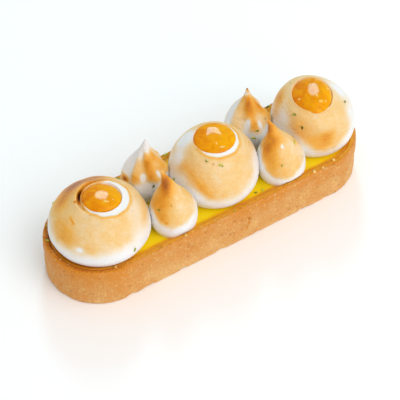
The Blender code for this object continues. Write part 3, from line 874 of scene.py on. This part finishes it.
# Where the flame played on the kisses, as on the round meringues. A few entries are painted light instead,
# as noted above them
KISS_SPOTS = {
    "front_left": (
        (-171, 6.2, 14.9, 4.5, 1.1, 0.22), (-154, 8, 9.5, 4, 1.1, 0.18), (-169, 3.4, 19.2, 4, 1.2, 0.28),
        (151, 2.7, 22, 3.6, 1.4, 0.42), (-82, 5.5, 13.2, 6, 1.1, -0.10), (-28, 7.7, 9.5, 5, 1.1, -0.25),
        # (-104, 3.3, 16.3): a narrow white streak that is a painted highlight
        (-104, 3.3, 16.3, 0.8, 3, -0.08), (-140, 8.3, 8.5, 1, 1, 0.25), (180, 1.5, 26, 2.2, 1.2, 0.35),
    ),
    "back_left": (
        (152, 6.3, 14, 6.5, 1.2, -0.7), (157, 2, 20.8, 4.5, 1.2, -0.45), (0, 0, 26.2, 5.5, 1.2, -0.8),
        (-121, 4.7, 16.6, 4, 1.1, 0.22), (-81, 3.5, 18.8, 3.5, 1.1, 0.2), (-65, 6.5, 13.1, 3.5, 1.1, 0.16),
        # (174, 8.2, 8.6): a dark patch low in the gap beside the left round meringue, painted shade
        (174, 8.2, 8.6, 2.8, 0.9, 0.8), (-128, 6.8, 12.6, 1.2, 2.2, -0.9), (-79, 6.8, 12.4, 1.2, 2.4, -0.9),
        (-105, 6.8, 12.0, 1.4, 2.2, 0.2), (-150, 6.8, 12.0, 2.2, 1.2, 0.2),
    ),
    "front_right": (
        (179, 7, 15.8, 4.5, 1.1, 0.34), (-150, 7.8, 12.3, 4.5, 1.1, 0.2), (-169, 4.4, 19.5, 4, 1.2, 0.3),
        (149, 5.3, 23.5, 3.6, 1.4, 0.42), (-75, 4.9, 14, 6, 1.1, -0.10), (-30, 7.5, 9.5, 5, 1.1, -0.25),
        # (-125, 3.9, 17.6): a narrow white streak that is a painted highlight
        (-125, 3.9, 17.6, 0.8, 3.4, -0.45), (180, 1.5, 26, 2.2, 1.2, 0.35),
    ),
    "back_right": (
        (147, 7, 12.2, 6.5, 1.3, -0.7), (152, 3.5, 19, 3.5, 1.3, -0.3), (-144, 3.1, 20.5, 5, 1.3, 0.34),
        (-55, 4.1, 17.9, 4, 1.2, 0.2), (-128, 6.6, 13.6, 1.3, 3.0, -0.95), (-88, 6.9, 12.6, 1.2, 2.6, -0.9),
        # (-172, 8.5, 8.0): a dark patch low in the gap beside the middle round meringue, painted shade
        (-172, 8.5, 8.0, 2.8, 0.8, 0.55), (180, 1.2, 26.9, 1.2, 1.0, 0.9), (180, 1.0, 24.3, 1.8, 1.1, -0.5),
        (-108, 6.6, 13.0, 1.4, 2.4, 0.22),
    ),
}
KISS_BANDS = {
    "front_left": ((176, 10.2), (-155, 7.3), (-125, 6.6), (-92, 8.2), (-42, 9.5), (60, 10)),
    "back_left": ((-137, 10.2), (-60, 9.4), (60, 9), (170, 7)),
    "front_right": ((164, 13.2), (-161, 7.4), (-135, 5.6), (-98, 5.2), (-63, 8.0), (30, 10)),
    "back_right": ((-137, 10.8), (-60, 10), (60, 9), (170, 6)),
}


def torch_and_painted_light_on_kiss(key, places):
    x, y = (v * MM for v in KISSES[key][:2])
    centre = Vector((x, y, 0))
    angle, _, height = around(places, centre)
    wander = noise_at(places, 200, 31) * 1.0 * MM + noise_at(places, 600, 32) * 0.4 * MM
    start = band_height(KISS_BANDS[key], angle)
    lit = sharpen(height + wander, start - 1.6 * MM, start + 2.0 * MM)
    torch_and_painted_light = 0.35 + 0.06 * noise_at(places, 130, 33) + 0.04 * noise_at(places, 420, 34)
    folds, tall = KISSES[key][6], KISSES[key][3] * MM
    ridges = np.cos(folds * (angle + 1.3 * height / tall)) * sharpen(height, 6 * MM, 12 * MM)
    torch_and_painted_light = torch_and_painted_light + 0.10 * ridges * (folds > 0)
    for degrees, reach, high, size, flat, amount in KISS_SPOTS[key]:
        torch_and_painted_light = torch_and_painted_light + amount * spot(places, centre, degrees, reach, high, size, flat)
    return np.clip(torch_and_painted_light, 0, 1) * lit


# Zest and crumbs

# Angle in degrees and height in mm on the turned pieces, and X and Y in mm on the flat ones
ZEST_ON_ROUND = {
    "left": ((31, 14.6), (-79, 6.4), (128, 9.5)),
    "middle": ((177, 9.2), (-110, 19.4), (-138, 20.6), (-20, 9.4), (82, 14.0)),
    "right": ((-156, 18.6), (-142, 16.6), (-43, 18.4), (64, 15.0)),
}
ZEST_ON_KISS = {
    "front_left": ((-164, 12.6),),
    "back_left": ((-103, 9.1), (70, 11.0)),
    "front_right": ((-34, 15.3), (-118, 11.2)),
    "back_right": ((-103, 11.6), (-112, 8.6), (100, 8.0)),
}
ZEST_ON_CURD = ((15.9, -15.0), (13.6, -14.3), (-29.8, 13.9))
ZEST_ON_RIM = ((-4.5, 18.6), (42.0, 18.6), (1.5, -18.6), (-62.6, 6.2), (-59.3, 12.2))
CRUMBS_ON_RIM = ((-48.6, -17.6), (36.7, -18.8), (40.4, -19.1), (46.3, -17.6), (-20.0, -18.9), (12.0, 18.9))


def kiss_radius(key, height):
    widest, tall = (v * MM for v in KISSES[key][2:4])
    share = height / tall
    for (low, inner), (high, outer) in zip(KISS_OUTLINE, KISS_OUTLINE[1:]):
        if low <= share <= high:
            return widest * (inner + (outer - inner) * (share - low) / (high - low))
    return 0.0


def settled(point, piece):
    """The nearest place on a piece, just above its surface, and the direction that it faces."""
    _, place, normal, _ = piece.closest_point_on_mesh(point)
    return place + normal * 0.1 * MM, normal


def turned_point(centre, degrees, radius, height):
    angle = math.radians(degrees)
    return centre + Vector((math.cos(angle) * radius, math.sin(angle) * radius, height))


def zest_places(pieces):
    """Points of the zest and the directions that they face."""
    found = []
    base = Vector((0, 0, BASE))
    for key, places in ZEST_ON_ROUND.items():
        centre = round_values(key)[0] + base
        for degrees, high in places:
            point = turned_point(centre, degrees, round_radius(key, high * MM), high * MM)
            found.append(settled(point, pieces[key]))
    for key, places in ZEST_ON_KISS.items():
        x, y, _, tall, lean_x, lean_y = (v * MM for v in KISSES[key][:6])
        for degrees, high in places:
            bend = Vector((lean_x, lean_y, 0)) * (high * MM / tall) ** LEAN_CURVE
            centre = Vector((x, y, 0)) + base + bend
            point = turned_point(centre, degrees, kiss_radius(key, high * MM), high * MM)
            found.append(settled(point, pieces[key]))
    found += [settled(Vector((x * MM, y * MM, CURD_TOP)), pieces["curd"]) for x, y in ZEST_ON_CURD]
    found += [settled(Vector((x * MM, y * MM, CASE_HEIGHT)), pieces["case"]) for x, y in ZEST_ON_RIM]
    return found


def shred_mesh():
    """One curled shred of zest, 1 long and lying along X."""
    steps = 6
    rings = []
    for k in range(steps + 1):
        share = k / steps
        wide = 0.26 * math.sin(math.pi * (0.12 + 0.76 * share)) * (1.1 - 0.3 * share)
        lift = 0.30 * (share - 0.5) ** 2
        turn = 0.6 * (share - 0.5)
        ring = []
        for across, up in ((-wide, -0.08), (wide, -0.08), (wide * 0.9, 0.10), (-wide * 0.9, 0.10)):
            y = across * math.cos(turn) - up * math.sin(turn)
            z = across * math.sin(turn) + up * math.cos(turn) + lift
            ring.append(Vector((share - 0.5, y + 0.18 * math.sin(3 * share), z)))
        rings.append(ring)
    mesh = ring_mesh("shred", rings)
    recalculate(mesh)
    return mesh


def crumb_mesh():
    """One angular crumb, 1 across."""
    bm = bmesh.new()
    bmesh.ops.create_icosphere(bm, subdivisions=2, radius=0.5)
    for vert in bm.verts:
        vert.co *= 1 + 0.55 * noise.noise(vert.co * 3.1)
    mesh = bpy.data.meshes.new("crumb")
    bm.to_mesh(mesh)
    bm.free()
    return mesh


def recalculate(mesh):
    bm = bmesh.new()
    bm.from_mesh(mesh)
    bmesh.ops.recalc_face_normals(bm, faces=bm.faces)
    bm.to_mesh(mesh)
    bm.free()


def scatter_tree():
    """Geometry nodes that lay copies of one small mesh on points, each facing as its point does."""
    tree = bpy.data.node_groups.new("scatter", "GeometryNodeTree")
    for label, kind in (("Geometry", "Geometry"), ("Shred", "Object"), ("Material", "Material"),
                        ("Smallest", "Float"), ("Largest", "Float"), ("Seed", "Int")):
        tree.interface.new_socket(name=label, in_out="INPUT", socket_type=f"NodeSocket{kind}")
    tree.interface.new_socket(name="Geometry", in_out="OUTPUT", socket_type="NodeSocketGeometry")
    given = node(tree, "NodeGroupInput")
    out = node(tree, "NodeGroupOutput")
    facing = node(tree, "GeometryNodeInputNamedAttribute", {"Name": "facing"}, data_type="FLOAT_VECTOR")
    stand = node(tree, "FunctionNodeAlignRotationToVector", {"Vector": facing.outputs["Attribute"]},
                 axis="Z")
    spin = node(tree, "FunctionNodeRandomValue", {"Seed": given.outputs["Seed"]}, data_type="FLOAT")
    spin.inputs[2].default_value = 0.0
    spin.inputs[3].default_value = math.tau
    about = node(tree, "FunctionNodeAxisAngleToRotation", {"Angle": spin.outputs[1]})
    about.inputs["Axis"].default_value = (0, 0, 1)
    turned = node(tree, "FunctionNodeRotateRotation", {
        "Rotation": stand.outputs["Rotation"], "Rotate By": about.outputs["Rotation"]},
        rotation_space="LOCAL")
    size = node(tree, "FunctionNodeRandomValue", {"Seed": given.outputs["Seed"]}, data_type="FLOAT")
    tree.links.new(given.outputs["Smallest"], size.inputs[2])
    tree.links.new(given.outputs["Largest"], size.inputs[3])
    shred = node(tree, "GeometryNodeObjectInfo", {"Object": given.outputs["Shred"]})
    laid = node(tree, "GeometryNodeInstanceOnPoints", {
        "Points": given.outputs["Geometry"], "Instance": shred.outputs["Geometry"],
        "Rotation": turned.outputs["Rotation"], "Scale": size.outputs[1]})
    real = node(tree, "GeometryNodeRealizeInstances", {"Geometry": laid.outputs["Instances"]})
    wear = node(tree, "GeometryNodeSetMaterial", {
        "Geometry": real.outputs["Geometry"], "Material": given.outputs["Material"]})
    tree.links.new(wear.outputs["Geometry"], out.inputs["Geometry"])
    return tree


def scatter(name, tree, places, small, material, smallest, largest, seed):
    """Lays copies of a small mesh at (point, facing) places, as one plain mesh."""
    mesh = bpy.data.meshes.new(name)
    mesh.from_pydata([point for point, _ in places], [], [])
    layer = mesh.attributes.new("facing", "FLOAT_VECTOR", "POINT")
    layer.data.foreach_set("vector", [part for _, facing in places for part in facing])
    carrier = bpy.data.objects.new(name, mesh)
    bpy.context.scene.collection.objects.link(carrier)
    shred = bpy.data.objects.new("small_piece", small)
    bpy.context.scene.collection.objects.link(shred)
    nodes = carrier.modifiers.new("scatter", "NODES")
    nodes.node_group = tree
    values = {"Shred": shred, "Material": material, "Smallest": smallest, "Largest": largest, "Seed": seed}
    for item in tree.interface.items_tree:
        if item.in_out == "INPUT" and item.name in values:
            nodes[item.identifier] = values[item.name]
    evaluated = carrier.evaluated_get(bpy.context.evaluated_depsgraph_get())
    joined = bpy.data.meshes.new_from_object(evaluated)
    bpy.data.objects.remove(carrier, do_unlink=True)
    bpy.data.objects.remove(shred, do_unlink=True)
    return finish_piece(name, joined, material, [])


# Stage

def build_floor():
    mesh = bpy.data.meshes.new("floor")
    half = 1.2
    mesh.from_pydata([(-half, -half, 0), (half, -half, 0), (half, half, 0), (-half, half, 0)], [],
                     [(0, 1, 2, 3)])
    floor = bpy.data.objects.new("floor", mesh)
    bpy.context.scene.collection.objects.link(floor)
    material, _, shader = new_material("pale_floor")
    shader.inputs["Base Color"].default_value = (1.0, 1.0, 1.0, 1)
    shader.inputs["Roughness"].default_value = 0.9
    mesh.materials.append(material)


def side_of(azimuth, elevation):
    """The direction from the tart to a lamp or the camera. Azimuth 0 is in front, positive towards +X."""
    level = math.cos(elevation)
    return Vector((math.sin(azimuth) * level, -math.cos(azimuth) * level, math.sin(elevation)))


def add_light(name, azimuth, elevation, distance, size, power, colour=(1, 1, 1)):
    """A rectangular soft light that faces the tart."""
    light = bpy.data.lights.new(name, "AREA")
    light.shape = "RECTANGLE"
    light.size, light.size_y = size
    light.energy = power
    light.color = colour
    lamp = bpy.data.objects.new(name, light)
    bpy.context.scene.collection.objects.link(lamp)
    place = side_of(math.radians(azimuth), math.radians(elevation))
    lamp.matrix_world = (Matrix.Translation(place * distance) @
                         place.to_track_quat("Z", "Y").to_matrix().to_4x4())


def build_lights():
    add_light("window", 150, 40, 0.9, (0.15, 0.21), 1.8, (0.40, 0.84, 1.0))
    add_light("overhead", 30, 62, 1.1, (0.9, 0.9), 2.5, (1.0, 0.99, 0.98))
    add_light("front_fill", 8, 46, 1.2, (1.0, 0.8), 3.5, (1.0, 0.99, 0.97))
    add_light("low_fill", 5, 22, 1.2, (1.0, 0.5), 1.6)
    world = bpy.data.worlds.new("studio")
    world.use_nodes = True
    world.node_tree.nodes["Background"].inputs["Color"].default_value = (1.0, 0.985, 0.965, 1)
    world.node_tree.nodes["Background"].inputs["Strength"].default_value = 0.61
    bpy.context.scene.world = world


def build_camera():
    back = side_of(CAMERA_AZIMUTH, CAMERA_ELEVATION)
    right = Vector((math.cos(CAMERA_AZIMUTH), math.sin(CAMERA_AZIMUTH), 0))
    up = back.cross(right)
    aim = CAMERA_AIM + right * CAMERA_ASIDE - up * CAMERA_DOWN
    lens = bpy.data.cameras.new("view")
    lens.lens = CAMERA_LENS
    lens.sensor_width = 36
    camera = bpy.data.objects.new("view", lens)
    bpy.context.scene.collection.objects.link(camera)
    camera.matrix_world = (Matrix.Translation(aim + back * CAMERA_DISTANCE) @
                           Matrix((right, up, back)).transposed().to_4x4())
    bpy.context.scene.camera = camera


def main():
    build_camera()
    build_lights()
    build_floor()
    pieces = {"case": build_case(make_pastry()), "curd": build_curd(make_curd())}
    meringue, gel = make_meringue(), make_gel()
    for key in ROUNDS:
        pieces[key] = build_round(key, meringue)
        build_gel(key, gel)
    for key in KISSES:
        pieces[key] = build_kiss(key, meringue)
    bpy.context.view_layer.update()
    tree = scatter_tree()
    scatter("zest_shreds", tree, zest_places(pieces), shred_mesh(), make_zest(),
            1.0 * MM, 1.8 * MM, 3)
    crumbs = [settled(Vector((x * MM, y * MM, CASE_HEIGHT)), pieces["case"]) for x, y in CRUMBS_ON_RIM]
    scatter("pastry_crumbs", tree, crumbs, crumb_mesh(), make_crumb(), 0.7 * MM, 1.3 * MM, 5)
    bpy.context.scene.view_settings.view_transform = "Standard"


main()
